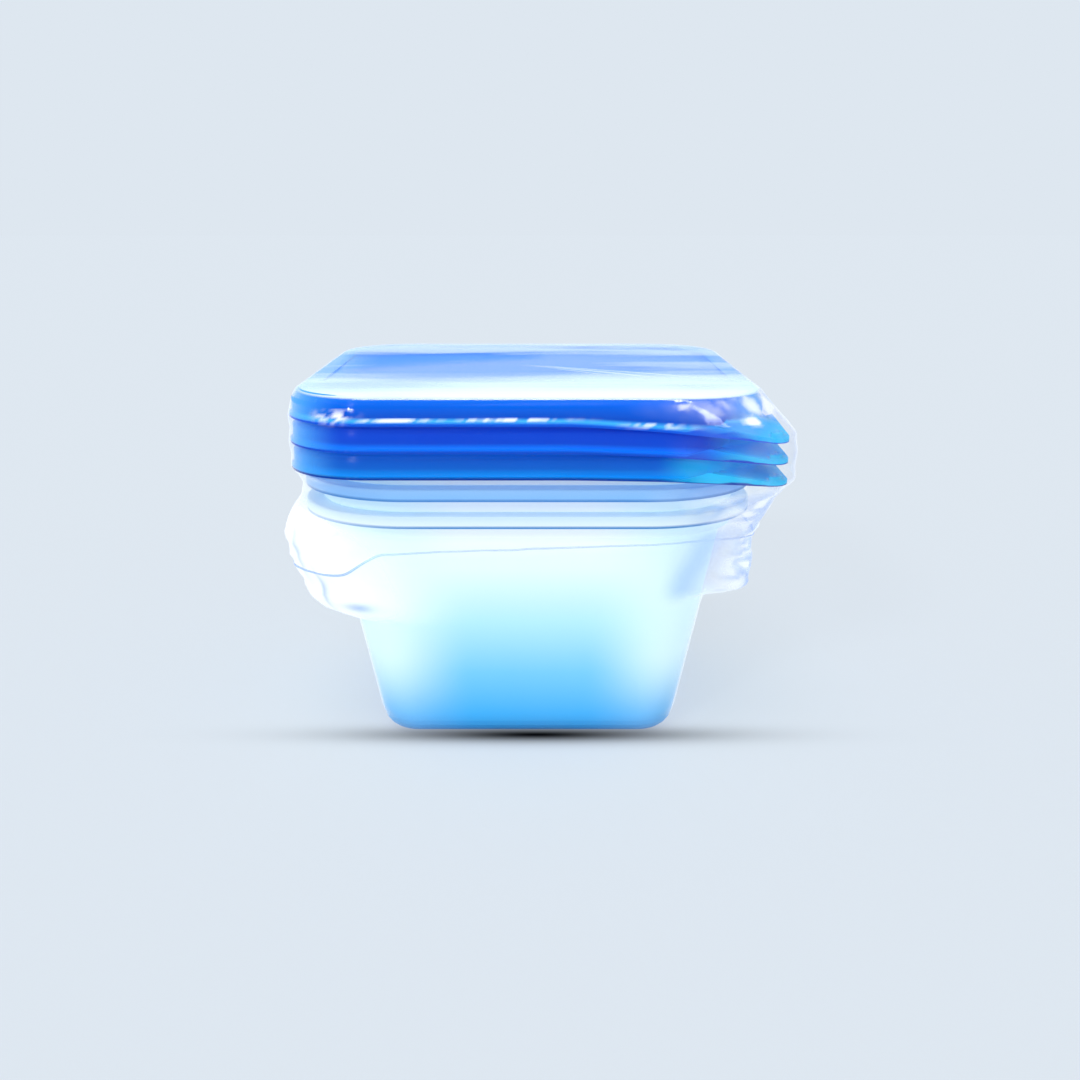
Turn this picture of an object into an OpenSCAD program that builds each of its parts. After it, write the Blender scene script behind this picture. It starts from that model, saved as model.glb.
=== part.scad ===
// Freezer box set: three nested tubs with three stacked snap lids in clear shrink film
// Units are millimetres, Z is up, and the origin is the centre of the base on the surface

/* [Tub] */
// Half width of the tub over its rim
rim_half = 53.5; // [53:0.5:58]
// Radius of the tub's corners over the rim
rim_corner_r = 26.5; // [21:0.5:32]
// Height of one tub
tub_h = 60.5; // [54:0.5:75]
// Thickness of the tub's wall
tub_wall = 0.8; // [0.6:0.1:0.9]
// Thickness of the tub's floor
tub_floor = 1.0; // [0.8:0.1:1.4]
// Outward lean of the wall in degrees
wall_lean = 11.9; // [11:0.1:12.5]
// Outer radius between the wall and the base
base_round = 5; // [3.5:0.5:6]
// Height of the foot ring under the floor
foot_h = 0.6; // [0.4:0.1:1]
// Width of the foot ring
foot_w = 1.6; // [1:0.1:2.5]
// Width of the rim from its outer edge to the mouth
rim_w = 4.9; // [4.1:0.1:5.5]
// Step from the wall out to the collar under the rim
collar_step = 2.25; // [1.5:0.05:3.5]

/* [Tub rim] */
// Thickness of the flat flange at the top of the tub
flange_t = 1.1; // [0.9:0.1:1.4]
// Height of the rim's turned down lip
rim_lip_h = 2.9; // [2:0.1:3.4]
// Thickness of the rim's turned down lip
rim_lip_t = 0.9; // [0.7:0.1:1.2]
// Rounding of the rim's outer top edge
rim_round = 0.5; // [0.3:0.1:0.7]

/* [Nesting] */
// Rise from one nested tub to the next, which is also the height of the collar
nest_pitch = 6.2; // [5.8:0.1:8]
// Rise from one stacked lid to the next
lid_pitch = 6.0; // [5.8:0.1:6]

/* [Lid] */
// Height of one lid from the lip to the shoulder
lid_h = 6.4; // [6.4:0.1:6.8]
// Thickness of the lid
lid_wall = 0.8; // [0.6:0.1:0.9]
// Gap between the lid's skirt and the tub's rim
lid_gap = 0.3; // [0.2:0.05:0.5]
// Width of the lip that turns out at the lid's lower edge
lid_lip_w = 0.6; // [0.4:0.1:1.2]
// Radius of the lid's corners over the lip
lid_corner_r = 20; // [17:0.5:22]
// Depth of the skirt that closes over the rim
skirt_h = 3.8; // [3.7:0.1:4]
// Setback of the lid's upper wall from the skirt
upper_setback = 1.2; // [1:0.1:1.6]
// Rounding of the lid's shoulder
shoulder_r = 0.9; // [0.4:0.1:1]
// Depth of the stacking recess in the top of the lid
recess_d = 0.4; // [0.3:0.1:0.4]
// Gap round the sealing ring in the tub's mouth
ring_gap = 0.2; // [0.15:0.05:0.3]
// Gap between a sealing ring and the stacking recess below it
recess_gap = 0.4; // [0.3:0.05:0.6]
// Length of each snap bar inside the skirt
snap_l = 26; // [15:1:40]
// Height of each snap bar
snap_h = 0.7; // [0.4:0.1:0.8]
// Gap between a snap bar and the rim as it passes
snap_gap = 0.1; // [0.05:0.05:0.15]

/* [Pull tab] */
// Reach of the tab's tip beyond the lip along each axis
tab_reach = 2.6; // [1.5:0.1:5]
// Radius of the tab's tip
tab_tip_r = 4.5; // [3.5:0.5:5.5]
// Distance from the centre along the edge where the tab begins
tab_start = 30; // [24:1:36]
// Thickness of the tab and of the lip
tab_t = 0.8; // [0.6:0.1:1.2]
// Height of the grip ridge on the tab
ridge_h = 0.7; // [0.4:0.1:1]

/* [Film] */
// Drawn thickness of the shrink film
film_t = 0.25; // [0.2:0.05:0.3]
// Gap between the film and what it goes round
film_gap = 0.4; // [0.35:0.05:0.6]
// Height of the trim seal where the upper and lower film meet
seal_z = 51; // [48:1:54]
// Width of the seal's fin beyond the film
seal_fin = 0.5; // [0.3:0.1:1]
// Height of each half of the seal's fin
seal_h = 0.4; // [0.3:0.1:0.8]
// Height where the loose film starts to draw in
loose_z = 42; // [40:1:45]
// Height below which the film lies against the wall
hug_z = 32; // [28:1:36]

/* [Hidden] */
$fn = 96;

tub_colour = [0.80, 0.94, 0.99, 0.55];
lid_colour = [0.05, 0.38, 0.86, 0.75];
film_colour = [0.93, 0.97, 1.00, 0.30];

arc_steps = 5;
corner_steps = 10;
tub_z = film_t;
corner_axis = rim_half - rim_corner_r;
mouth_half = rim_half - rim_w;
collar_z = tub_h - nest_pitch;
floor_z = foot_h + tub_floor;
slope = tan(wall_lean);
wall_run = tub_wall / cos(wall_lean);
collar_half = mouth_half + tub_wall;
wall_top_half = collar_half - collar_step;
round_in = base_round - tub_wall;
flange_z = tub_h - flange_t;
rim_edge_z = tub_h - rim_lip_h;
chamfer = 0.3;

skirt_in = rim_half + lid_gap;
skirt_half = skirt_in + lid_wall;
lip_half = skirt_half + lid_lip_w;
lid_axis = lip_half - lid_corner_r;
upper_half = skirt_half - upper_setback;
panel_z = lid_h - recess_d - lid_wall;
ring_out = mouth_half - ring_gap;
ring_in = ring_out - lid_wall;
ring_z = lid_h - recess_d - lid_pitch;
recess_half = ring_out + recess_gap;
lid_z = tub_z + 2 * nest_pitch + tub_h - skirt_h;
lids_top = lid_z + 2 * lid_pitch + lid_h;

tab_centre = lip_half + tab_reach - tab_tip_r;
hood_in = film_gap;
hood_out = film_gap + film_t;
film_half = lip_half + hood_out;

echo(height = lids_top + film_t, width = 2 * lip_half, lid_z = lid_z);

// Half width of the tub's outer wall at a height above its own base
function wall_at(z) = wall_top_half - slope * (collar_z - z);

// Points of an arc from angle a0 to a1
function arc(h, z, r, a0, a1, steps = arc_steps) =
    [for (i = [0 : steps]) let (a = a0 + (a1 - a0) * i / steps)
        [h + r * cos(a), z + r * sin(a)]];

// Arc that rounds a leaning wall into a level plane, with the wall moved out by grow
function foot_arc(z, r, grow) =
    let (cz = z + r, ch = wall_at(cz) + grow - r / cos(wall_lean))
    arc(ch, cz, r, -90, -wall_lean);

function reversed(list) = [for (i = [len(list) - 1 : -1 : 0]) list[i]];

// Point where the tangent from a point on the lip's edge meets the tab's tip
function tip_tangent(from, tip, r) =
    let (d = tip - from, l = norm(d), a = atan2(d[1], d[0]) - asin(r / l),
         reach = sqrt(l * l - r * r))
    from + reach * [cos(a), sin(a)];

// Sweeps a half section round a square whose corners turn about one axis each
module sweep_square(axis, section) {
    corner_section = [for (p = section) [max(p[0] - axis, 0), p[1]]];
    for (i = [0 : 3]) rotate([0, 0, 90 * i]) {
        translate([axis, axis, 0])
            rotate_extrude(angle = 90)
                polygon(corner_section);
        rotate([90, 0, 0])
            linear_extrude(height = 2 * axis, center = true)
                polygon(section);
    }
}

// Flat square with round corners
module round_square(half, r) {
    square([2 * half, 2 * (half - r)], center = true);
    square([2 * (half - r), 2 * half], center = true);
    for (x = [-1, 1], y = [-1, 1])
        translate([x * (half - r), y * (half - r)]) circle(r);
}

// Half section of a tub from its floor to its rim
module tub() {
    outer = concat(
        [[corner_axis, foot_h],
         [foot_arc(0, base_round, 0)[0][0] - foot_w, foot_h],
         [foot_arc(0, base_round, 0)[0][0] - foot_w + foot_h / 2, 0]],
        foot_arc(0, base_round, 0),
        [[wall_at(collar_z), collar_z],
         [collar_half - chamfer, collar_z],
         [collar_half, collar_z + chamfer],
         [collar_half, flange_z],
         [rim_half - rim_lip_t, flange_z],
         [rim_half - rim_lip_t, rim_edge_z],
         [rim_half, rim_edge_z]],
        arc(rim_half - rim_round, tub_h - rim_round, rim_round, 0, 90));
    inner = concat(
        [[corner_axis, floor_z]],
        foot_arc(floor_z, round_in, -wall_run),
        [[wall_at(collar_z + tub_wall) - wall_run, collar_z + tub_wall],
         [mouth_half, collar_z + tub_wall],
         [mouth_half, tub_h - chamfer],
         [mouth_half + chamfer, tub_h]]);
    sweep_square(corner_axis, concat(outer, reversed(inner)));
    translate([-corner_axis, -corner_axis, foot_h])
        cube([2 * corner_axis, 2 * corner_axis, tub_floor]);
}

// Points of the pull tab's tip between its two tangents, grown by a margin
function tab_points(grow) =
    let (r = tab_tip_r + grow, tip = [tab_centre, -tab_centre],
         start = [tab_start, -lip_half - grow],
         touch = tip_tangent(start, tip, r),
         a = atan2(touch[1] - tip[1], touch[0] - tip[0]))
    concat([start], arc(tip[0], tip[1], r, a, -90 - a, corner_steps),
           [[lip_half + grow, -tab_start]]);

// Whole outline of a lid with its tab as one run of points, grown by a margin
function outline_points(grow) =
    let (r = lid_corner_r + grow)
    concat(tab_points(grow),
           arc(lid_axis, lid_axis, r, 0, 90, corner_steps),
           arc(-lid_axis, lid_axis, r, 90, 180, corner_steps),
           arc(-lid_axis, -lid_axis, r, 180, 270, corner_steps));

module lid_outline(grow) {
    polygon(outline_points(grow));
}

module lid() {
    outer = concat(
        [[skirt_in, 0], [lip_half, 0], [lip_half, tab_t],
         [skirt_half, tab_t + chamfer],
         [skirt_half, skirt_h + lid_wall / 2],
         [upper_half, skirt_h + lid_wall / 2 + upper_setback]],
        arc(upper_half - shoulder_r, lid_h - shoulder_r, shoulder_r, 0, 90));
    inner = [[lid_axis, lid_h], [lid_axis, panel_z],
             [upper_half - lid_wall, panel_z],
             [upper_half - lid_wall, skirt_h],
             [skirt_in, skirt_h]];
    difference() {
        union() {
            sweep_square(lid_axis, concat(outer, inner));
            translate([-lid_axis, -lid_axis, panel_z])
                cube([2 * lid_axis, 2 * lid_axis, lid_h - panel_z]);
            seal_ring();
            snap_bars();
            pull_tab();
        }
        translate([0, 0, lid_h - recess_d])
            linear_extrude(height = 2 * recess_d)
                round_square(recess_half, recess_half - corner_axis);
    }
}

// Ring under the lid that plugs the tub's mouth and rests in the recess of a lid below
module seal_ring() {
    sweep_square(corner_axis,
        [[ring_in, ring_z + chamfer], [ring_in + chamfer, ring_z],
         [ring_out - chamfer, ring_z], [ring_out, ring_z + chamfer],
         [ring_out, panel_z + lid_wall / 2], [ring_in, panel_z + lid_wall / 2]]);
}

// Bars in the middle of each side of the skirt that hold under the rim
module snap_bars() {
    bar_in = rim_half + snap_gap;
    for (i = [0 : 3]) rotate([0, 0, 90 * i])
        translate([bar_in, -snap_l / 2, 0])
            cube([skirt_in + lid_wall / 2 - bar_in, snap_l, snap_h]);
}

// Tab with a low ridge that follows its tip
module pull_tab() {
    ridge_w = 1.2;
    difference() {
        linear_extrude(height = tab_t)
            polygon(concat(tab_points(0), [[lid_axis, -lid_axis]]));
        translate([0, 0, -tab_t])
            linear_extrude(height = 3 * tab_t)
                round_square(skirt_in + lid_wall / 2,
                             lid_corner_r - lid_lip_w - lid_wall / 2);
    }
    translate([tab_centre, -tab_centre, 0])
        rotate([0, 0, -90])
            rotate_extrude(angle = 90)
                translate([tab_tip_r - 2 * ridge_w, tab_t / 2])
                    square([ridge_w, tab_t / 2 + ridge_h]);
}

// Film over the lids down to the trim seal
module film_hood() {
    difference() {
        translate([0, 0, seal_z])
            linear_extrude(height = lids_top + film_t - seal_z) lid_outline(hood_out);
        translate([0, 0, seal_z - 1])
            linear_extrude(height = lids_top - seal_z + 1) lid_outline(hood_in);
    }
    translate([0, 0, seal_z])
        linear_extrude(height = seal_h)
            difference() {
                lid_outline(hood_out + seal_fin);
                lid_outline(hood_in + film_t / 2);
            }
}

// Film below the trim seal: a fin with loose corners, a drawn in skirt and a cup on the wall
module film_tray() {
    hug = hug_z - tub_z;
    loose = loose_z - tub_z;
    top = seal_z - tub_z;
    outer = concat([[corner_axis, -film_t]],
        foot_arc(-film_t, base_round + film_t, hood_out),
        [[wall_at(hug) + hood_out, hug], [film_half, loose], [film_half, top]]);
    inner = concat([[corner_axis, 0]],
        foot_arc(0, base_round, hood_in),
        [[wall_at(hug) + hood_in, hug], [film_half - film_t, loose],
         [film_half - film_t, top]]);
    translate([0, 0, tub_z]) {
        sweep_square(corner_axis, concat(outer, reversed(inner)));
        translate([-corner_axis, -corner_axis, -film_t])
            cube([2 * corner_axis, 2 * corner_axis, film_t]);
    }
    translate([0, 0, seal_z - seal_h])
        linear_extrude(height = seal_h)
            difference() {
                lid_outline(hood_out + seal_fin);
                round_square(film_half - film_t / 2, film_half - film_t / 2 - corner_axis);
            }
}

// One tub of the nest, counted from the outside
module nested_tub(i) {
    color(tub_colour) translate([0, 0, tub_z + i * nest_pitch]) tub();
}

// One lid of the stack, counted from the lowest
module stacked_lid(i) {
    color(lid_colour) translate([0, 0, lid_z + i * lid_pitch]) lid();
}

module container_outer() {
    nested_tub(0);
}

module container_middle() {
    nested_tub(1);
}

module container_inner() {
    nested_tub(2);
}

module lid_bottom() {
    stacked_lid(0);
}

module lid_middle() {
    stacked_lid(1);
}

module lid_top() {
    stacked_lid(2);
}

module film_upper() {
    color(film_colour) film_hood();
}

module film_lower() {
    color(film_colour) film_tray();
}

container_outer();
container_middle();
container_inner();
lid_bottom();
lid_middle();
lid_top();
film_upper();
film_lower();
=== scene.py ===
import math
import bmesh
import bpy
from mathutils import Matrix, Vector, noise


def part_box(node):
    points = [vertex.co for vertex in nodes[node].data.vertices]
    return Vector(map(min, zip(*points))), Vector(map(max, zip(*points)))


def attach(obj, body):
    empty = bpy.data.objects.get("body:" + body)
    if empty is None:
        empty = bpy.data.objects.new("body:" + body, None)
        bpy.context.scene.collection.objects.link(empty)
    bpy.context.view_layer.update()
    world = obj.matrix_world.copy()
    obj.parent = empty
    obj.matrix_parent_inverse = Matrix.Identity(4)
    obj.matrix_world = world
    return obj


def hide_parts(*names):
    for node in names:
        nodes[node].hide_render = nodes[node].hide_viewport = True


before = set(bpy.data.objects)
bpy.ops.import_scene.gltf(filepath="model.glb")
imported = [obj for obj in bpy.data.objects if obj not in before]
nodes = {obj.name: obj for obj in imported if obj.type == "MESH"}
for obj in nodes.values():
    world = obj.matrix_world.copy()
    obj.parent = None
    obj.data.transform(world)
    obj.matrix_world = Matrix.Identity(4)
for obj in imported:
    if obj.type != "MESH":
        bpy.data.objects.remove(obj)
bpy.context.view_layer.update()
scene = bpy.context.scene
MM = 0.001

# Camera: a studio view from a little above, square on to the front of the pack, the
# angle and distance at which the rims curve as they do in the photograph.
camera_pitch = math.radians(15)
camera_distance = 0.333
camera_aim = Vector((0.003, 0, 0.041))
sensor_width = 36
frame_pixels, focal_pixels = 1080, 1235
camera_data = bpy.data.cameras.new("camera")
camera_data.sensor_width = sensor_width
camera_data.lens = sensor_width * focal_pixels / frame_pixels
camera = bpy.data.objects.new("camera", camera_data)
camera.location = camera_aim + camera_distance * Vector(
    (0, -math.cos(camera_pitch), math.sin(camera_pitch)))
camera.rotation_euler = (math.pi / 2 - camera_pitch, 0, 0)
scene.collection.objects.link(camera)
scene.camera = camera
scene.view_settings.view_transform = "Standard"

# Many clear layers lie behind each other here, so rays may pass more of them.
scene.cycles.transparent_max_bounces = 24


# Backdrop: the pale blue of the photograph, the same to the camera, in gloss and through
# clear film. The dome that lights the pack is plain white.
def tone(red, green, blue):
    """A display colour from 0 to 255 as a shader colour."""
    return tuple(((c / 255 + 0.055) / 1.055) ** 2.4 if c > 10 else c / 255 / 12.92
                 for c in (red, green, blue)) + (1,)


def node_of(tree, kind, **values):
    made = tree.nodes.new(kind)
    for name, value in values.items():
        setattr(made, name, value)
    return made


def feed(tree, socket, value):
    """Sets a socket to a plain value, or links it to an output."""
    if isinstance(value, bpy.types.NodeSocket):
        tree.links.new(value, socket)
    else:
        socket.default_value = value


def math_node(tree, operation, first, second=None, clamp=False):
    made = node_of(tree, "ShaderNodeMath", operation=operation, use_clamp=clamp)
    feed(tree, made.inputs[0], first)
    if second is not None:
        feed(tree, made.inputs[1], second)
    return made.outputs[0]


def mixed_shader(tree, share, first, second):
    made = tree.nodes.new("ShaderNodeMixShader")
    feed(tree, made.inputs["Fac"], share)
    tree.links.new(first.outputs[0], made.inputs[1])
    tree.links.new(second.outputs[0], made.inputs[2])
    return made


backdrop_colour = tone(222, 231, 240)
dome_colour = (1, 1, 1, 1)
dome_strength = 0.70
world = bpy.data.worlds.new("studio")
world.use_nodes = True
tree = world.node_tree
tree.nodes.clear()
dome = tree.nodes.new("ShaderNodeBackground")
dome.inputs["Color"].default_value = dome_colour
dome.inputs["Strength"].default_value = dome_strength
backdrop = tree.nodes.new("ShaderNodeBackground")
backdrop.inputs["Color"].default_value = backdrop_colour
path = tree.nodes.new("ShaderNodeLightPath")
seen = math_node(tree, "MAXIMUM", path.outputs["Is Camera Ray"], math_node(
    tree, "MAXIMUM", path.outputs["Is Glossy Ray"], path.outputs["Is Transmission Ray"]))
either = mixed_shader(tree, seen, dome, backdrop)
output = tree.nodes.new("ShaderNodeOutputWorld")
tree.links.new(either.outputs[0], output.inputs["Surface"])
scene.world = world


# Lights: a broad sun from above and a lower one from the front left, which light the floor
# evenly all the way to the backdrop and glint in the film.
def sun(name, elevation, azimuth, strength, spread):
    data = bpy.data.lights.new(name, "SUN")
    data.energy = strength
    data.angle = math.radians(spread)
    lamp = bpy.data.objects.new(name, data)
    high, round_ = math.radians(elevation), math.radians(azimuth)
    away = Vector((math.sin(round_) * math.cos(high), -math.cos(round_) * math.cos(high),
                   math.sin(high)))
    lamp.rotation_euler = (-away).to_track_quat("-Z", "Y").to_euler()
    scene.collection.objects.link(lamp)


sun("overhead_sun", 68, -20, 0.82, 30)
sun("front_sun", 28, -30, 0.52, 9)

# Floor: the backdrop's colour, lit so that it meets the backdrop without a line. Below the
# front edge of the pack a thin dark contact shadow is painted into its colour.
floor_size = 6
painted_shade_centre = (2 * MM, -35.4 * MM, 0)
painted_shade_reach = (42 * MM, 4.9 * MM, 1)
painted_shade_tone = tone(4, 6, 10)
floor_glow_share = 0.70
bm = bmesh.new()
bmesh.ops.create_grid(bm, x_segments=1, y_segments=1, size=floor_size)
floor_mesh = bpy.data.meshes.new("floor")
bm.to_mesh(floor_mesh)
bm.free()
floor = bpy.data.objects.new("floor", floor_mesh)
scene.collection.objects.link(floor)
floor_paint = bpy.data.materials.new("floor_paint")
floor_paint.use_nodes = True
tree = floor_paint.node_tree
tree.nodes.clear()
coords = tree.nodes.new("ShaderNodeTexCoord")
offset = node_of(tree, "ShaderNodeVectorMath", operation="SUBTRACT")
tree.links.new(coords.outputs["Object"], offset.inputs[0])
offset.inputs[1].default_value = painted_shade_centre
spread = node_of(tree, "ShaderNodeVectorMath", operation="DIVIDE")
tree.links.new(offset.outputs[0], spread.inputs[0])
spread.inputs[1].default_value = painted_shade_reach
length = node_of(tree, "ShaderNodeVectorMath", operation="LENGTH")
tree.links.new(spread.outputs[0], length.inputs[0])
fall = math_node(tree, "POWER", length.outputs["Value"], 2.0)
shade = math_node(tree, "EXPONENT", math_node(tree, "MULTIPLY", fall, -1.0))
tinted = node_of(tree, "ShaderNodeMix", data_type="RGBA")
tree.links.new(shade, tinted.inputs["Factor"])
tinted.inputs["A"].default_value = backdrop_colour
tinted.inputs["B"].default_value = painted_shade_tone
matt = tree.nodes.new("ShaderNodeBsdfDiffuse")
tree.links.new(tinted.outputs["Result"], matt.inputs["Color"])
glow = tree.nodes.new("ShaderNodeEmission")
tree.links.new(tinted.outputs["Result"], glow.inputs["Color"])
blend = mixed_shader(tree, floor_glow_share, matt, glow)
output = tree.nodes.new("ShaderNodeOutputMaterial")
tree.links.new(blend.outputs[0], output.inputs["Surface"])
floor_mesh.materials.append(floor_paint)

# Lids: three snap lids injection moulded in translucent blue polypropylene. A single
# wall passes light and reads cyan, and where walls lie behind each other it is deep blue.
# The film pulls the lips down at the pull tabs, most of all the top one.
lid_low, lid_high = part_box("lid_bottom")
lid_tall = lid_high.z - lid_low.z
lid_bodies = {"lid_bottom": "bottom_lid", "lid_middle": "middle_lid", "lid_top": "top_lid"}
lid_droop = {"lid_bottom": 0.85, "lid_middle": 2.1, "lid_top": 3.4}
droop_start, droop_end = 46, 80
skirt_axis, skirt_start, skirt_end = 27, 22, 25
cut_spacing, cut_count = 5, 11
tab_root, tab_web = 68, 1.7
tip_start = {"lid_bottom": 28, "lid_middle": 38, "lid_top": 42}
tip_length = 14
droop_power = 1.15
bend_low, bend_high = 1.0, 6.2
web_low, web_high = 0.5, 2.5
merge_gap = 0.001
lid_sharp_angle = math.radians(28)
tip_front = (-30, -50)
corner_left = (-40, -56)
corner_rise = (0.3, 0.6)
tip_rise = (0.12, 0.25)
lid_left_glare_tone = tone(84, 178, 255)
lid_tip_tone = tone(0, 212, 255)
lid_cloud_tone = tone(0, 128, 250)
lid_tint = tone(90, 190, 255)
lid_cloud_scale, lid_grain_scale, lid_cloud_share = 38.0, 260.0, 0.16
lid_opacity, tip_clearness = 0.98, 0.25
lid_roughness, lid_gloss, lid_painted_glow = 0.16, 0.06, 0.14
# Colours of each lid by height in mm: the lower edge darker as painted shade, a painted
# highlight on the lip, painted shade just above it, then the lid's own blue
lid_painted_light_bands = {
    "lid_top": ((0.4, (0, 80, 215)), (1.1, (70, 190, 255)), (1.9, (0, 70, 190)),
                (5.0, (0, 100, 230)), (6.4, (40, 150, 250))),
    "lid_middle": ((0.2, (0, 60, 190)), (1.0, (0, 120, 250)), (2.2, (0, 60, 200)),
                   (6.4, (0, 60, 205))),
    "lid_bottom": ((0.4, (0, 50, 145)), (0.9, (0, 140, 235)), (2.6, (0, 90, 195)),
                   (4.4, (0, 80, 190)), (6.4, (0, 120, 245))),
}


def material_tree(name):
    made = bpy.data.materials.new(name)
    made.use_nodes = True
    made.node_tree.nodes.clear()
    return made, made.node_tree


def span(tree, value, low, high):
    """0 at low and 1 at high, smoothly in between."""
    made = node_of(tree, "ShaderNodeMapRange", interpolation_type="SMOOTHSTEP")
    tree.links.new(value, made.inputs["Value"])
    made.inputs["From Min"].default_value = low
    made.inputs["From Max"].default_value = high
    return made.outputs["Result"]


def span_mm(tree, value, low, high):
    return span(tree, value, low * MM, high * MM)


def mixed(tree, share, first, second):
    made = node_of(tree, "ShaderNodeMix", data_type="RGBA")
    feed(tree, made.inputs["Factor"], share)
    feed(tree, made.inputs["A"], first)
    feed(tree, made.inputs["B"], second)
    return made.outputs["Result"]


def place_of(tree):
    coords = tree.nodes.new("ShaderNodeTexCoord")
    split = tree.nodes.new("ShaderNodeSeparateXYZ")
    tree.links.new(coords.outputs["Object"], split.inputs[0])
    return coords.outputs["Object"], split.outputs


def soft_noise(tree, place, scale, detail=2.0, stretch=(1, 1, 1)):
    mapping = tree.nodes.new("ShaderNodeMapping")
    mapping.inputs["Scale"].default_value = stretch
    tree.links.new(place, mapping.inputs["Vector"])
    made = tree.nodes.new("ShaderNodeTexNoise")
    made.inputs["Scale"].default_value = scale
    made.inputs["Detail"].default_value = detail
    tree.links.new(mapping.outputs[0], made.inputs["Vector"])
    return made.outputs["Fac"]


def ramp(tree, share, stops):
    """A colour ramp whose stops are (position, colour), from the low end up."""
    made = tree.nodes.new("ShaderNodeValToRGB")
    tree.links.new(share, made.inputs["Fac"])
    elements = made.color_ramp.elements
    while len(elements) < len(stops):
        elements.new(1.0)
    for element, (position, _) in zip(elements, stops):
        element.position = position
    for element, (_, colour) in zip(elements, stops):
        element.color = colour
    return made.outputs["Color"]


def banded(tree, height, tall, bands):
    """Colours by height: bands are (height in mm, display colour), from the low end up."""
    share = math_node(tree, "DIVIDE", height, tall, clamp=True)
    return ramp(tree, share, [(z * MM / tall, tone(*colour)) for z, colour in bands])


grain_strength, grain_depth = 0.12, 0.4 * MM


def moulded_skin():
    """Effect shared by the moulded pieces: cloudy flow marks and the grain of the tool."""
    group = bpy.data.node_groups.new("moulded_skin", "ShaderNodeTree")
    face = group.interface
    face.new_socket("Cloud Scale", in_out="INPUT", socket_type="NodeSocketFloat")
    face.new_socket("Grain Scale", in_out="INPUT", socket_type="NodeSocketFloat")
    face.new_socket("Cloud", in_out="OUTPUT", socket_type="NodeSocketFloat")
    face.new_socket("Normal", in_out="OUTPUT", socket_type="NodeSocketVector")
    given = group.nodes.new("NodeGroupInput")
    result = group.nodes.new("NodeGroupOutput")
    place = group.nodes.new("ShaderNodeTexCoord").outputs["Object"]
    for scale, detail, target in (("Cloud Scale", 3.0, "Cloud"), ("Grain Scale", 2.0, None)):
        marks = group.nodes.new("ShaderNodeTexNoise")
        group.links.new(place, marks.inputs["Vector"])
        group.links.new(given.outputs[scale], marks.inputs["Scale"])
        marks.inputs["Detail"].default_value = detail
        if target:
            group.links.new(marks.outputs["Fac"], result.inputs[target])
    bump = group.nodes.new("ShaderNodeBump")
    bump.inputs["Strength"].default_value = grain_strength
    bump.inputs["Distance"].default_value = grain_depth
    group.links.new(marks.outputs["Fac"], bump.inputs["Height"])
    group.links.new(bump.outputs[0], result.inputs["Normal"])
    return group


skin_group = moulded_skin()


def skin_of(tree, cloud_scale, grain_scale):
    made = node_of(tree, "ShaderNodeGroup", node_tree=skin_group)
    made.inputs["Cloud Scale"].default_value = cloud_scale
    made.inputs["Grain Scale"].default_value = grain_scale
    return made.outputs["Cloud"], made.outputs["Normal"]


def plastic(tree, colour, normal, roughness, gloss, glow):
    """Plastic with a little painted glow in its own colour, for the light its wall scatters
    inside.
    """
    made = tree.nodes.new("ShaderNodeBsdfPrincipled")
    tree.links.new(colour, made.inputs["Base Color"])
    tree.links.new(colour, made.inputs["Emission Color"])
    tree.links.new(normal, made.inputs["Normal"])
    made.inputs["Roughness"].default_value = roughness
    made.inputs["Specular IOR Level"].default_value = gloss
    made.inputs["Emission Strength"].default_value = glow
    return made


def see_through(tree, opacity, tint, solid):
    clear = tree.nodes.new("ShaderNodeBsdfTransparent")
    clear.inputs["Color"].default_value = tint
    output = tree.nodes.new("ShaderNodeOutputMaterial")
    tree.links.new(mixed_shader(tree, opacity, clear, solid).outputs[0],
                   output.inputs["Surface"])


def smooth(low, high, value):
    t = min(max((value - low) / (high - low), 0), 1)
    return t * t * (3 - 2 * t)


def lid_plastic(name):
    made, tree = material_tree("blue_" + name)
    axis = place_of(tree)[1]
    cloud, normal = skin_of(tree, lid_cloud_scale, lid_grain_scale)
    height = node_of(tree, "ShaderNodeAttribute", attribute_name="rise").outputs["Fac"]
    colour = banded(tree, height, lid_tall, lid_painted_light_bands[name])
    inner = span_mm(tree, height, *corner_rise)
    start = tip_start[name]
    tip = math_node(tree, "MULTIPLY", span_mm(tree, axis["X"], start, start + tip_length),
                    span_mm(tree, axis["Y"], *tip_front))
    # The left end is painted paler above the lip's edge: the thin wall there, and painted
    # glare of the film.
    left = span_mm(tree, axis["X"], *corner_left)
    colour = mixed(tree, math_node(tree, "MULTIPLY", left, inner), colour, lid_left_glare_tone)
    edge = span_mm(tree, height, *tip_rise)
    colour = mixed(tree, math_node(tree, "MULTIPLY", tip, edge), colour, lid_tip_tone)
    colour = mixed(tree, math_node(tree, "MULTIPLY", cloud, lid_cloud_share), colour,
                   lid_cloud_tone)
    opacity = math_node(tree, "SUBTRACT", lid_opacity,
                        math_node(tree, "MULTIPLY", tip, tip_clearness))
    see_through(tree, opacity, lid_tint,
                plastic(tree, colour, normal, lid_roughness, lid_gloss, lid_painted_glow))
    return made


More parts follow.
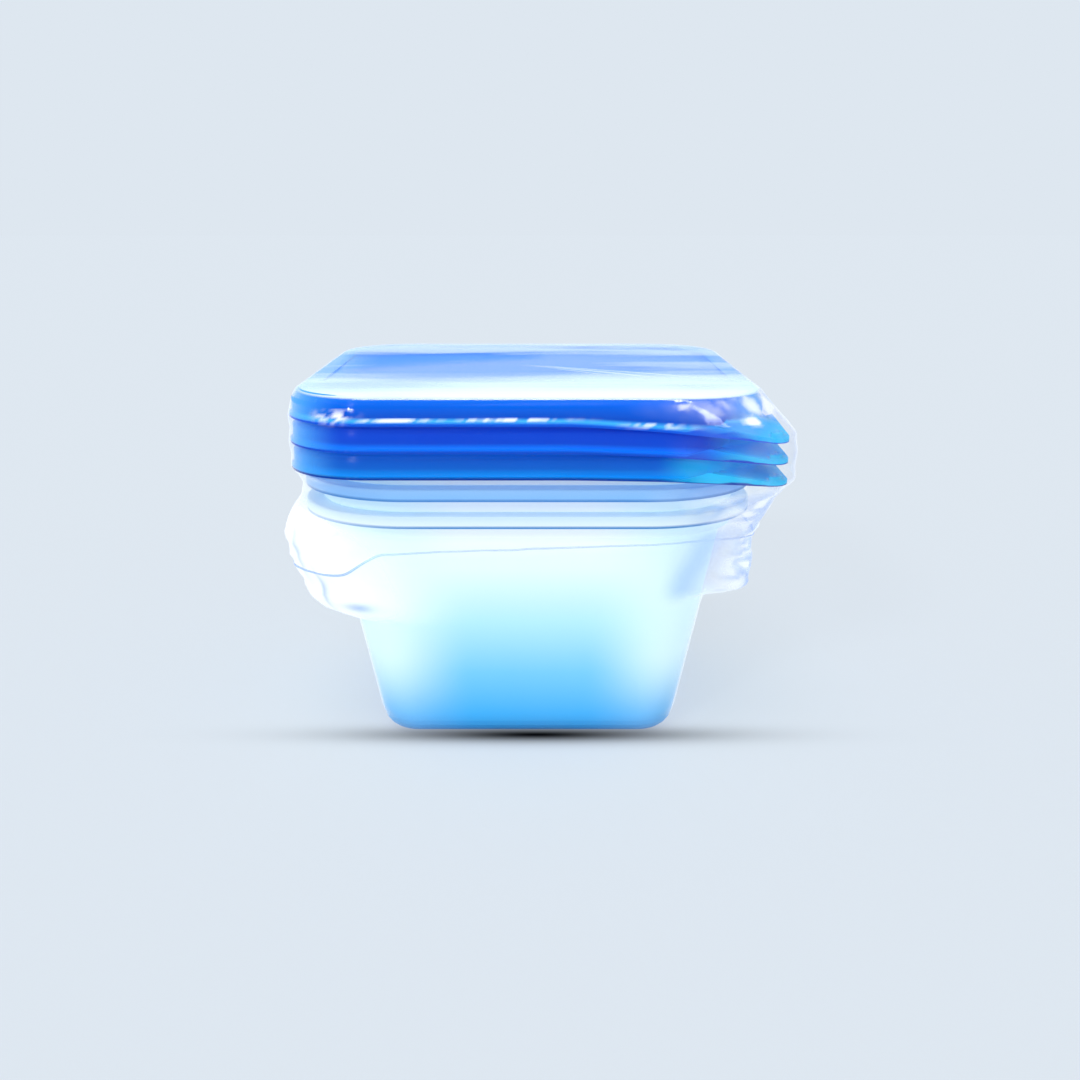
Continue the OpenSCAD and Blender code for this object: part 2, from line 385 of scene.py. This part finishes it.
def bent_lid(name):
    """The lid's own mesh, cut finely near the tab and with its skirt and lip bent down."""
    bm = bmesh.new()
    bm.from_mesh(nodes[name].data)
    bmesh.ops.remove_doubles(bm, verts=bm.verts, dist=merge_gap * MM)
    for step in range(1, cut_count + 1):
        for side in (Vector((1, 0, 0)), Vector((0, -1, 0))):
            geom = bm.verts[:] + bm.edges[:] + bm.faces[:]
            bmesh.ops.bisect_plane(bm, geom=geom, plane_no=side,
                                   plane_co=side * step * cut_spacing * MM)
    rise = bm.verts.layers.float.new("rise")
    base_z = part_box(name)[0].z
    for v in bm.verts:
        v[rise] = v.co.z - base_z
        x, y = v.co.x / MM, -v.co.y / MM
        outer = math.hypot(max(x - skirt_axis, 0), max(y - skirt_axis, 0))
        share = smooth(skirt_start, skirt_end, outer) * (
            1 - smooth(bend_low, bend_high, v[rise] / MM))
        diagonal = (x + y) / math.sqrt(2)
        if diagonal > tab_root and web_low < v[rise] / MM < web_high:
            v.co.z += tab_web * MM * (droop_end - diagonal) / (droop_end - tab_root)
        reach = max(diagonal - droop_start, 0) / (droop_end - droop_start)
        v.co.z -= lid_droop[name] * MM * share * reach ** droop_power
    mesh = bpy.data.meshes.new("bent_" + name)
    bm.to_mesh(mesh)
    bm.free()
    for polygon in mesh.polygons:
        polygon.use_smooth = True
    mesh.set_sharp_from_angle(angle=lid_sharp_angle)
    mesh.materials.append(lid_plastic(name))
    lid = bpy.data.objects.new("bent_" + name, mesh)
    scene.collection.objects.link(lid)
    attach(lid, lid_bodies[name])
    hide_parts(name)


for name in lid_painted_light_bands:
    bent_lid(name)

# Tubs: three freezer tubs moulded in frosted natural polypropylene. The wall scatters
# light. Its colour is painted white at the rim and clear cyan towards the base: the stacked
# bases seen through the wall, and painted light from the blue lids.
tub_low, tub_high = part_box("container_outer")
tub_tall = tub_high.z - tub_low.z
tub_corner_glare_tone = tone(234, 254, 255)
tub_haze_tone = tone(255, 255, 255)
tub_tint = tone(240, 252, 255)
tub_cloud_scale, tub_grain_scale, tub_cloud_share = 30.0, 420.0, 0.06
tub_opacity = 0.86
tub_roughness, tub_gloss, tub_painted_glow = 0.3, 0.2, 0.18
rim_start = (57.5, 57.6)
corner_glare_start, corner_glare_rise = (13, 35), (2, 24)
corner_glare_least, corner_glare_gain = 0.15, 0.75
# Colours of the wall by height: cyan at the base for the stacked bases seen through it and
# painted light from the blue lids, to white at the rim
tub_bands = ((0, (30, 145, 225)), (6, (55, 185, 250)), (18, (120, 210, 250)),
             (32, (190, 240, 255)), (46, (240, 255, 255)), (57, (255, 255, 255)))
# Colours of each rim by height: a painted shade line along the lower edge of the lip, partly
# the thicker edge, then the rim's own colour above it
rim_shade_bands = {
    "container_outer": ((58, (60, 135, 200)), (58.3, (230, 245, 250)),
                        (60.5, (200, 225, 240))),
    "container_middle": ((58, (60, 135, 205)), (58.3, (135, 195, 250)),
                         (60.5, (150, 200, 245))),
    "container_inner": ((58, (85, 160, 210)), (60.5, (185, 220, 250))),
}


def tub_plastic(name):
    made, tree = material_tree("frosted_" + name)
    axis = place_of(tree)[1]
    cloud, normal = skin_of(tree, tub_cloud_scale, tub_grain_scale)
    height = math_node(tree, "SUBTRACT", axis["Z"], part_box(name)[0].z)
    wall = banded(tree, height, tub_tall, tub_bands)
    rim = banded(tree, height, tub_tall, rim_shade_bands[name])
    at_rim = span_mm(tree, height, *rim_start)
    # The corners are painted whiter, more so higher up: painted glare on the frosted wall.
    aside = math_node(tree, "MINIMUM", math_node(tree, "ABSOLUTE", axis["X"]),
                      math_node(tree, "ABSOLUTE", axis["Y"]))
    grows = math_node(tree, "MULTIPLY", span_mm(tree, height, *corner_glare_rise), corner_glare_gain)
    side = math_node(tree, "MULTIPLY", span_mm(tree, aside, *corner_glare_start),
                     math_node(tree, "ADD", corner_glare_least, grows))
    colour = mixed(tree, side, wall, tub_corner_glare_tone)
    colour = mixed(tree, at_rim, colour, rim)
    colour = mixed(tree, math_node(tree, "MULTIPLY", cloud, tub_cloud_share), colour,
                   tub_haze_tone)
    see_through(tree, tub_opacity, tub_tint,
                plastic(tree, colour, normal, tub_roughness, tub_gloss, tub_painted_glow))
    return made


for name in rim_shade_bands:
    nodes[name].data.materials.clear()
    nodes[name].data.materials.append(tub_plastic(name))

# Shrink film: one clear polyolefin bag, welded along a trim seal half way up and shrunk
# on with hot air. It bridges from lip to rim to wall, and its loose corners gather in ears.
film_steps = 400
film_rows, end_rows = 60, 14
end_reach, end_power = 0.92, 0.9
seal_shares = (0, 0.004, 0.007)
film_gauge = 0.06 * MM
film_top = 88.15
film_base = 0.06
seal_gap = 0.1
seal_fin = 0.3
seal_haze = 0.34

# Heights of the film with its half width and corner radius there, from the base up
film_profile = (
    (0.0, 31.2, 6.5), (0.4, 33.0, 7.5), (1.5, 34.9, 8.6), (3.2, 36.3, 9.6), (6.0, 37.3, 10.4),
    (20.0, 40.3, 13.4), (34.0, 43.3, 16.6), (42.0, 46.3, 20.0), (50.0, 50.2, 23.0),
    (56.5, 53.5, 26.0), (58.6, 54.0, 26.6), (61.5, 54.1, 26.6), (64.5, 54.2, 26.4),
    (67.5, 54.9, 24.0), (69.4, 55.6, 21.0), (72.5, 55.3, 20.4), (75.4, 55.7, 20.6),
    (78.5, 55.3, 20.4), (81.4, 55.7, 20.6), (84.5, 54.9, 20.0), (87.0, 54.0, 19.4),
    (87.9, 53.2, 18.8), (88.15, 52.0, 18.0))
# How far the film stands off that profile along the fold from the tabs to the right ear,
# and round the left ear
right_fold = ((37.2, 0.0), (39.4, 9.4), (41.0, 10.5), (45.0, 9.0), (50.0, 6.9), (54.0, 5.7),
              (58.0, 6.2), (62.0, 9.0), (66.0, 11.0), (68.5, 11.4), (79.5, 11.2), (81.0, 9.0),
              (83.5, 5.6), (86.0, 2.4), (88.0, 0.0))
left_lobe = ((31.0, 0.0), (32.5, 4.6), (34.5, 8.6), (37.5, 10.7), (48.0, 10.3), (53.0, 8.0),
             (57.0, 4.8), (61.0, 1.2), (64.0, 0.0))
fold_width, fold_widening, left_ear_width = 0.13, 0.06, 0.32
# Wrinkles of the loose wall: depth in mm, fineness and place in the noise
wrinkles = ((0.6, 2.3, (0, 0, 0)), (0.25, 6.1, (5, 1, 3)))
slack_least, slack_gain, ear_crumple, end_ripple = 0.12, 0.9, 1.2, 0.12
# Heights between which the fold turns and widens, and those where an effect comes in and
# goes out again
fold_turns, fold_widens = (40, 69), (50, 66)
loose_span = ((36, 46), (58, 66))
ear_span = ((36, 40), (56, 64))
fold_haze_span = ((37.5, 41), (86, 88))
lids_span = ((65, 69), (82, 85))
bridge_shade_span = ((34, 41), (55, 61))
# The trim seal: its height at the left ear, its step up to the front, and its climb there
seal_low, seal_step, seal_climb = 45.2, 6.3, 2.9
seal_step_from, seal_step_to, seal_climb_from, seal_climb_run = -46, -31, -30, 72
# Milk of the left ear and the fold, of the painted glints and of the painted shade strip of
# the bridge, how clear the lids stay, and the strength of the painted crease shade
lobe_full, left_milk, fold_milk, fold_crease_milk = 11, 1.5, 0.22, 0.5
glint_milk, glint_gain, bridge_milk, bridge_shade_width = 0.8, 1.3, 0.3, 0.085
lids_clear, crease_shade = 0.85, 0.8
tab_angle = math.radians(-45)
right_ear_angle = math.radians(-38)
left_ear_angle = math.radians(214)
bridge_shade_angle = math.radians(-50)
# Painted shade lines in the creases of the left ear, and painted glints where the film would
# catch the light: the angle in degrees and the height of each, then its width in radians and
# half its height
crease_shades = ((-137.5, 40.5, 0.012, 4.5), (-131.0, 36.5, 0.050, 1.2), (-141.0, 50.0, 0.010, 6.0))
glints = ((-47, 87.6, 0.030, 0.8), (-38, 87.9, 0.040, 0.7), (-30, 88.0, 0.030, 0.7),
          (-58, 86.2, 0.018, 1.0), (-49, 82.6, 0.024, 1.0), (-63, 81.6, 0.080, 0.28),
          (-92, 82.7, 0.200, 0.22), (-118, 82.8, 0.110, 0.22), (-128.5, 83.4, 0.050, 1.1))


def bell(value, centre, width):
    return math.exp(-((value - centre) / width) ** 2)


def along(table, z):
    """Values of a table of heights at one height, straight in between."""
    if z <= table[0][0]:
        return table[0][1:]
    for low, high in zip(table, table[1:]):
        if z <= high[0]:
            t = (z - low[0]) / (high[0] - low[0])
            return tuple(a + (b - a) * t for a, b in zip(low[1:], high[1:]))
    return table[-1][1:]


def turn(angle, centre):
    """Signed difference of two angles, in radians."""
    return (angle - centre + math.pi) % (2 * math.pi) - math.pi


def window(z, heights):
    """1 between two pairs of heights, falling off to 0 across each pair."""
    rise, fall = heights
    return smooth(*rise, z) * (1 - smooth(*fall, z))


def square_reach(angle, half, corner):
    """Distance from the centre to a round cornered square along an angle."""
    c, s = abs(math.cos(angle)), abs(math.sin(angle))
    big, small = max(c, s), min(c, s)
    reach = half / big
    flat = half - corner
    if reach * small <= flat:
        return reach
    middle = flat * (c + s)
    return middle + math.sqrt(max(middle * middle - 2 * flat * flat + corner * corner, 0))


def fold_angle(z):
    return right_ear_angle + (tab_angle - right_ear_angle) * smooth(*fold_turns, z)


def right_share(angle, z):
    width = fold_width + fold_widening * smooth(*fold_widens, z)
    return bell(turn(angle, fold_angle(z)), 0, width)


def left_share(angle):
    return bell(turn(angle, left_ear_angle), 0, left_ear_width)


def noise_spot(angle, z):
    """Where the wrinkles are read in the noise: long up the wall and closed around it."""
    return Vector((math.cos(angle) * 3, math.sin(angle) * 3, z * 0.06))


def film_reach(angle, z):
    """Distance of the film from the middle of the pack, in mm."""
    half, corner = along(film_profile, z)
    reach = square_reach(angle, half, corner)
    reach += right_share(angle, z) * along(right_fold, z)[0]
    reach += left_share(angle) * along(left_lobe, z)[0]
    spot = noise_spot(angle, z)
    loose = slack_least + slack_gain * window(z, loose_span)
    ears = max(right_share(angle, z), left_share(angle)) * window(z, ear_span)
    for depth, fineness, shift in wrinkles:
        reach += depth * loose * noise.noise(spot * fineness + Vector(shift))
    reach -= ear_crumple * ears * abs(noise.noise(spot * 3.2 + Vector((1, 7, 2))))
    return reach


def seal_height(angle):
    """The trim seal sags at the left ear and climbs to the right."""
    x = film_reach(angle, 50) * math.cos(angle)
    climbed = min(max((x - seal_climb_from) / seal_climb_run, 0), 1)
    stepped = smooth(seal_step_from, seal_step_to, x)
    return seal_low + seal_step * stepped + seal_climb * climbed


def wall_point(angle, z, out=0.0):
    reach = (film_reach(angle, z) + out) * MM
    return Vector((reach * math.cos(angle), reach * math.sin(angle), z * MM))


def end_point(angle, z, share):
    """A point of the flat end, drawn in towards the middle."""
    edge = wall_point(angle, z)
    spot = Vector((edge.x * share * 40, edge.y * share * 90, 2.5))
    ripple = end_ripple * MM * noise.noise(spot)
    return Vector((edge.x * share, edge.y * share, z * MM + ripple * smooth(1, 0.9, share)))


def film_haze_glints_shade(angle, z):
    """How milky the film is, with painted glints, and how violet it is as painted shade in
    its folds, creases and bridge, from 0 to 1.
    """
    spot = noise_spot(angle, z)
    crease = abs(noise.noise(spot * 5.0 + Vector((3, 2, 9))))
    left = left_share(angle) * along(left_lobe, z)[0] / lobe_full
    right = right_share(angle, z) * window(z, fold_haze_span)
    right *= 1 - lids_clear * window(z, lids_span)
    milk = min(left_milk * left, 1) + right * (fold_milk + fold_crease_milk * crease)
    # Painted glints: spots of white milk where the film would catch the light.
    shine = max(bell(turn(angle, math.radians(a)), 0, w) * bell(z, h, t)
                for a, h, w, t in glints)
    broken = smooth(-0.25, 0.15, noise.noise(spot * 14))
    milk = max(milk, glint_milk * min(glint_gain * shine, 1) * broken)
    # Violet milk is painted shade: in the fold, in the strip of the bridge and in the
    # creases.
    shade_and_seal = right * (1 - smooth(0.12, 0.3, crease)) * (1 - min(2 * shine, 1))
    bridge_shade = bell(turn(angle, bridge_shade_angle), 0, bridge_shade_width) * window(z, bridge_shade_span)
    dark = max(bell(turn(angle, math.radians(a)), 0, w) * bell(z, h, t)
               for a, h, w, t in crease_shades)
    return max(min(milk, 1), bridge_milk * bridge_shade), max(shade_and_seal, bridge_shade, crease_shade * dark)


def film_sheet(name, rows):
    """Extrudes a ring row by row to the film's shape and closes it over the last row."""
    bm = bmesh.new()
    bmesh.ops.create_circle(bm, segments=film_steps, radius=1)
    milk_and_glints = bm.verts.layers.float.new("milk_and_glints")
    shade_and_seal = bm.verts.layers.float.new("shade_and_seal")
    ring, edges = list(bm.verts), list(bm.edges)
    for index, (place_at, seal) in enumerate(rows):
        if index:
            grown = bmesh.ops.extrude_edge_only(bm, edges=edges)["geom"]
            ring = [g for g in grown if isinstance(g, bmesh.types.BMVert)]
            edges = [g for g in grown if isinstance(g, bmesh.types.BMEdge)
                     and g.verts[0] in ring and g.verts[1] in ring]
        for v in ring:
            angle = math.atan2(v.co.y, v.co.x)
            v.co = place_at(angle)
            # The milk carries the painted glints, and the violet carries painted shade and
            # the seal's line.
            milk, blue = film_haze_glints_shade(angle, v.co.z / MM)
            v[milk_and_glints] = max(milk, seal_haze * seal)
            v[shade_and_seal] = max(blue, seal)
    bmesh.ops.contextual_create(bm, geom=edges)
    bmesh.ops.recalc_face_normals(bm, faces=bm.faces)
    mesh = bpy.data.meshes.new(name)
    bm.to_mesh(mesh)
    bm.free()
    for polygon in mesh.polygons:
        polygon.use_smooth = True
    sheet = bpy.data.objects.new(name, mesh)
    scene.collection.objects.link(sheet)
    wall = sheet.modifiers.new("gauge", "SOLIDIFY")
    wall.thickness = film_gauge
    wall.offset = -1
    return sheet


def wall_row(share, end, gap=0.0, out=0.0):
    """A row at a share of the way from the trim seal to an end."""
    def place_at(angle):
        start = seal_height(angle) + gap
        return wall_point(angle, start + (end - start) * share, out)
    return place_at


def end_row(z, share):
    return lambda angle: end_point(angle, z, share)


def sheet_rows(end, gap):
    fin_low, fin_high, root = seal_shares
    rows = [(wall_row(fin_low, end, gap, seal_fin), 1),
            (wall_row(fin_high, end, gap, seal_fin), 1), (wall_row(root, end, gap), 0)]
    rows += [(wall_row(i / film_rows, end, gap), 0) for i in range(1, film_rows + 1)]
    return rows + [(end_row(end, 1 - end_reach * (i / end_rows) ** end_power), 0)
                   for i in range(1, end_rows + 1)]


film_upper = film_sheet("shrink_film_upper", sheet_rows(film_top, seal_gap))
film_lower = film_sheet("shrink_film_lower", sheet_rows(film_base, 0.0))

# Painted glare on the sheet over the top lid, with the film's own haze, from the front edge
# to the far edge: brightest along the front edge as a painted highlight
top_glare = ((0, 0.85), (15, 0.5), (45, 0.1), (70, 0.1), (100, 0.4))
top_half = 53
top_start = (86.9, 87.8)
top_edge_loss = 0.8
mirror_least, mirror_gain, milk_at_edge = 0.004, 0.30, 0.55
streak_scale, streak_span, streak_size = 46, (0.36, 0.64), 0.36
film_painted_glow, film_roughness = 0.25, 0.08
ripple_scale, ripple_strength, ripple_depth = 55, 0.5, 1.2 * MM
milk_tone, shade_and_seal_tone = tone(250, 253, 255), tone(160, 190, 248)
top_glare_tone = tone(228, 252, 255)


def clear_film():
    made, tree = material_tree("clear_shrink_film")
    place, axis = place_of(tree)
    weight = tree.nodes.new("ShaderNodeLayerWeight")
    edge = math_node(tree, "POWER", weight.outputs["Facing"], 5.0)
    top = span_mm(tree, axis["Z"], *top_start)
    edge = math_node(tree, "MULTIPLY", edge, math_node(
        tree, "SUBTRACT", 1.0, math_node(tree, "MULTIPLY", top, top_edge_loss)))
    mirror = math_node(tree, "ADD", mirror_least,
                       math_node(tree, "MULTIPLY", edge, mirror_gain))
    share = math_node(tree, "DIVIDE", math_node(tree, "ADD", axis["Y"], top_half * MM),
                      2 * top_half * MM, clamp=True)
    depth = ramp(tree, share, [(percent / 100, (value, value, value, 1))
                               for percent, value in top_glare])
    streaks = span(tree, soft_noise(tree, place, streak_scale, 3.0, (0.25, 1.0, 0.3)),
                   *streak_span)
    wave = math_node(tree, "MULTIPLY", math_node(tree, "SUBTRACT", streaks, 0.5),
                     streak_size)
    sheet = math_node(tree, "ADD", depth, wave, clamp=True)
    sheet = math_node(tree, "MULTIPLY", sheet, top)
    attribute = node_of(tree, "ShaderNodeAttribute", attribute_name="milk_and_glints")
    milk = math_node(tree, "MAXIMUM", attribute.outputs["Fac"], sheet)
    milk = math_node(tree, "MAXIMUM", milk, math_node(
        tree, "MULTIPLY", edge, milk_at_edge), clamp=True)
    shade_and_seal = node_of(tree, "ShaderNodeAttribute", attribute_name="shade_and_seal")
    solid = tree.nodes.new("ShaderNodeBsdfPrincipled")
    colour = mixed(tree, shade_and_seal.outputs["Fac"], milk_tone, shade_and_seal_tone)
    # Over the top lid the film is painted cyan-white as painted glare.
    colour = mixed(tree, top, colour, top_glare_tone)
    tree.links.new(colour, solid.inputs["Base Color"])
    tree.links.new(colour, solid.inputs["Emission Color"])
    # A painted glow in the film's own colour lifts its milky parts to white.
    solid.inputs["Emission Strength"].default_value = film_painted_glow
    solid.inputs["Roughness"].default_value = film_roughness
    tree.links.new(math_node(tree, "SUBTRACT", 1.0, math_node(
        tree, "MULTIPLY", milk, 3.0), clamp=True), solid.inputs["Metallic"])
    ripple = tree.nodes.new("ShaderNodeBump")
    ripple.inputs["Strength"].default_value = ripple_strength
    ripple.inputs["Distance"].default_value = ripple_depth
    tree.links.new(soft_noise(tree, place, ripple_scale, 3.0, (1, 1, 0.5)),
                   ripple.inputs["Height"])
    tree.links.new(ripple.outputs[0], solid.inputs["Normal"])
    see_through(tree, math_node(tree, "MAXIMUM", mirror, milk, clamp=True), (1, 1, 1, 1),
                solid)
    return made


clear = clear_film()
for sheet in (film_upper, film_lower):
    sheet.data.materials.append(clear)
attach(film_upper, "upper_film")
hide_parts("film_upper")
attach(film_lower, "outer_tub")
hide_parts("film_lower")
